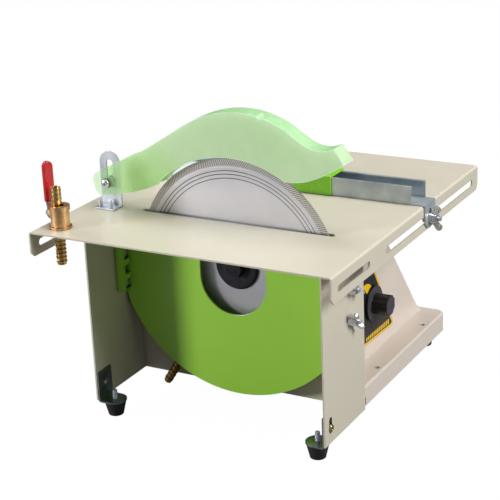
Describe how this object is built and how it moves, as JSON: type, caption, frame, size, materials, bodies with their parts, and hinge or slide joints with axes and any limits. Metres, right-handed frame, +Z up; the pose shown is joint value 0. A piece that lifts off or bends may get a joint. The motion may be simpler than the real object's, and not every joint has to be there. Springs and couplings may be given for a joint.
{
  "type": "bench wet saw",
  "caption": "Bench wet-cutting saw: steel table with a diamond disc in a splash box, lift-up guard, sliding fence, water valve and speed dial.",
  "frame": {"origin": "on the bench, under the middle of the table and of the fence's two wing nuts", "axes": "+X to the right along the front edge, +Y to the back, +Z up from the bench"},
  "size_m": [0.4004, 0.414, 0.3566],
  "materials": {
    "powder_coat": "beige powder coat, semi-matt, fine orange peel",
    "moulded_body": "beige powder coat on a moulded shell, semi-matt",
    "case_green": "lime green satin enamel",
    "block_green": "bright lime green satin enamel",
    "zinc_plate": "bright zinc-plated steel, satin",
    "yellow_zinc": "yellow-passivated zinc-plated steel",
    "dark_steel": "blackened turned steel",
    "steel": "machined steel, satin",
    "disc_steel": "ground steel core, satin, concentric polish",
    "brass": "machined and cast brass",
    "rubber_black": "matt black rubber",
    "guard_plastic": "translucent pale green polycarbonate, glossy",
    "knob_plastic": "black moulded plastic, satin",
    "label_film": "black film with yellow dial marks, satin",
    "grip_red": "red dipped vinyl sleeve, satin",
    "board_green": "green circuit board with black and metal parts",
    "rocker_red": "red moulded plastic, glossy",
    "cast_aluminium": "die-cast aluminium, as cast",
    "copper_wire": "enamelled copper wire",
    "ferrite": "grey sintered magnet ceramic, matt",
    "graphite": "pressed carbon, matt"
  },
  "bodies": {
    "frame": {"table_top": "powder_coat", "splash_housing": "powder_coat", "housing_screws": "zinc_plate", "machine_body": "moulded_body", "bottom_cover": "zinc_plate", "foot_brackets": "zinc_plate", "foot_screws": "yellow_zinc", "front_feet": "rubber_black", "rear_feet": "rubber_black", "case_front": "case_green", "case_back": "case_green", "case_bolts": "zinc_plate", "drain_barb": "brass", "drain_nut": "brass", "motor_can": "steel", "motor_magnets": "ferrite", "motor_front_bell": "cast_aluminium", "motor_rear_bell": "cast_aluminium", "motor_screws": "zinc_plate", "bearing_outer_rings": "steel", "brush_holders": "brass", "carbon_brushes": "graphite", "dial_label": "label_film", "potentiometer": "dark_steel", "speed_board": "board_green", "power_switch": "knob_plastic", "power_inlet": "knob_plastic", "guard_bracket": "zinc_plate", "guard_bracket_screws": "zinc_plate", "valve_body": "brass", "water_outlet_tube": "brass", "water_inlet_barb": "brass"},
    "spindle": {"motor_shaft": "steel", "rotor_core": "steel", "rotor_windings": "copper_wire", "commutator": "copper_wire", "cooling_fan": "knob_plastic", "bearing_inner_rings": "steel", "inner_flange": "dark_steel", "outer_flange": "dark_steel", "arbor_nut": "dark_steel", "saw_blade": "disc_steel"},
    "balls": {"bearing_balls": "steel"},
    "guard_carrier": {"guard_screw": "zinc_plate"},
    "guard": {"blade_guard": "guard_plastic"},
    "fence": {"fence_channel": "zinc_plate", "fence_bolts": "zinc_plate"},
    "stop_block": {"fence_block": "block_green"},
    "fence_nut_left": {"fence_wing_nut_left": "zinc_plate"},
    "fence_nut_right": {"fence_wing_nut_right": "zinc_plate"},
    "case_nut_left_upper": {"case_wing_nut_left_upper": "zinc_plate"},
    "case_nut_left_lower": {"case_wing_nut_left_lower": "zinc_plate"},
    "case_nut_right_upper": {"case_wing_nut_right_upper": "zinc_plate"},
    "case_nut_right_lower": {"case_wing_nut_right_lower": "zinc_plate"},
    "valve_handle": {"valve_ball": "steel", "valve_lever": "steel", "lever_grip": "grip_red"},
    "speed_control": {"pot_shaft": "steel", "speed_knob": "knob_plastic"},
    "rocker": {"switch_rocker": "rocker_red"}
  },
  "joints": [
    {"name": "spindle_spin", "type": "hinge", "parent": "frame", "child": "spindle", "pos_m": [0.013, -0.091, 0.176], "axis": [0, 1, 0], "continuous": true},
    {"name": "bearing_balls_roll", "type": "hinge", "parent": "frame", "child": "balls", "pos_m": [0.013, -0.091, 0.176], "axis": [0, 1, 0], "continuous": true},
    {"name": "guard_height", "type": "slide", "parent": "frame", "child": "guard_carrier", "axis": [0, 0, 1], "range_m": [0, 0.0215]},
    {"name": "guard_pivot", "type": "hinge", "parent": "guard_carrier", "child": "guard", "pos_m": [-0.15, -0.091, 0.2575], "axis": [0, -1, 0], "range_deg": [0, 75]},
    {"name": "fence_slide", "type": "slide", "parent": "frame", "child": "fence", "axis": [0, 1, 0], "range_m": [-0.105, 0.134]},
    {"name": "stop_block_slide", "type": "slide", "parent": "fence", "child": "stop_block", "axis": [1, 0, 0], "range_m": [-0.188, 0.095]},
    {"name": "fence_nut_left_turn", "type": "hinge", "parent": "fence", "child": "fence_nut_left", "pos_m": [-0.187, 0.049, 0.211], "axis": [-1, 0, 0], "continuous": true},
    {"name": "fence_nut_right_turn", "type": "hinge", "parent": "fence", "child": "fence_nut_right", "pos_m": [0.187, 0.049, 0.211], "axis": [1, 0, 0], "continuous": true},
    {"name": "case_nut_left_upper_turn", "type": "hinge", "parent": "frame", "child": "case_nut_left_upper", "pos_m": [-0.133, -0.11, 0.178], "axis": [-1, 0, 0], "continuous": true},
    {"name": "case_nut_left_lower_turn", "type": "hinge", "parent": "frame", "child": "case_nut_left_lower", "pos_m": [-0.133, -0.11, 0.142], "axis": [-1, 0, 0], "continuous": true},
    {"name": "case_nut_right_upper_turn", "type": "hinge", "parent": "frame", "child": "case_nut_right_upper", "pos_m": [0.159, -0.11, 0.178], "axis": [1, 0, 0], "continuous": true},
    {"name": "case_nut_right_lower_turn", "type": "hinge", "parent": "frame", "child": "case_nut_right_lower", "pos_m": [0.159, -0.11, 0.142], "axis": [1, 0, 0], "continuous": true},
    {"name": "valve_turn", "type": "hinge", "parent": "frame", "child": "valve_handle", "pos_m": [-0.16, -0.18, 0.241], "axis": [-0.9205, 0.3907, 0], "range_deg": [-90, 0]},
    {"name": "speed_turn", "type": "hinge", "parent": "frame", "child": "speed_control", "pos_m": [0.1145, 0.046, 0.0965], "axis": [-1, 0, 0], "range_deg": [0, 280]},
    {"name": "rocker_tilt", "type": "hinge", "parent": "frame", "child": "rocker", "pos_m": [-0.0885, 0.04, 0.11], "axis": [0, -1, 0], "range_deg": [0, 20]}
  ],
  "couplings": [
    {"joint": "bearing_balls_roll", "follows": "spindle_spin", "ratio": 0.427}
  ]
}
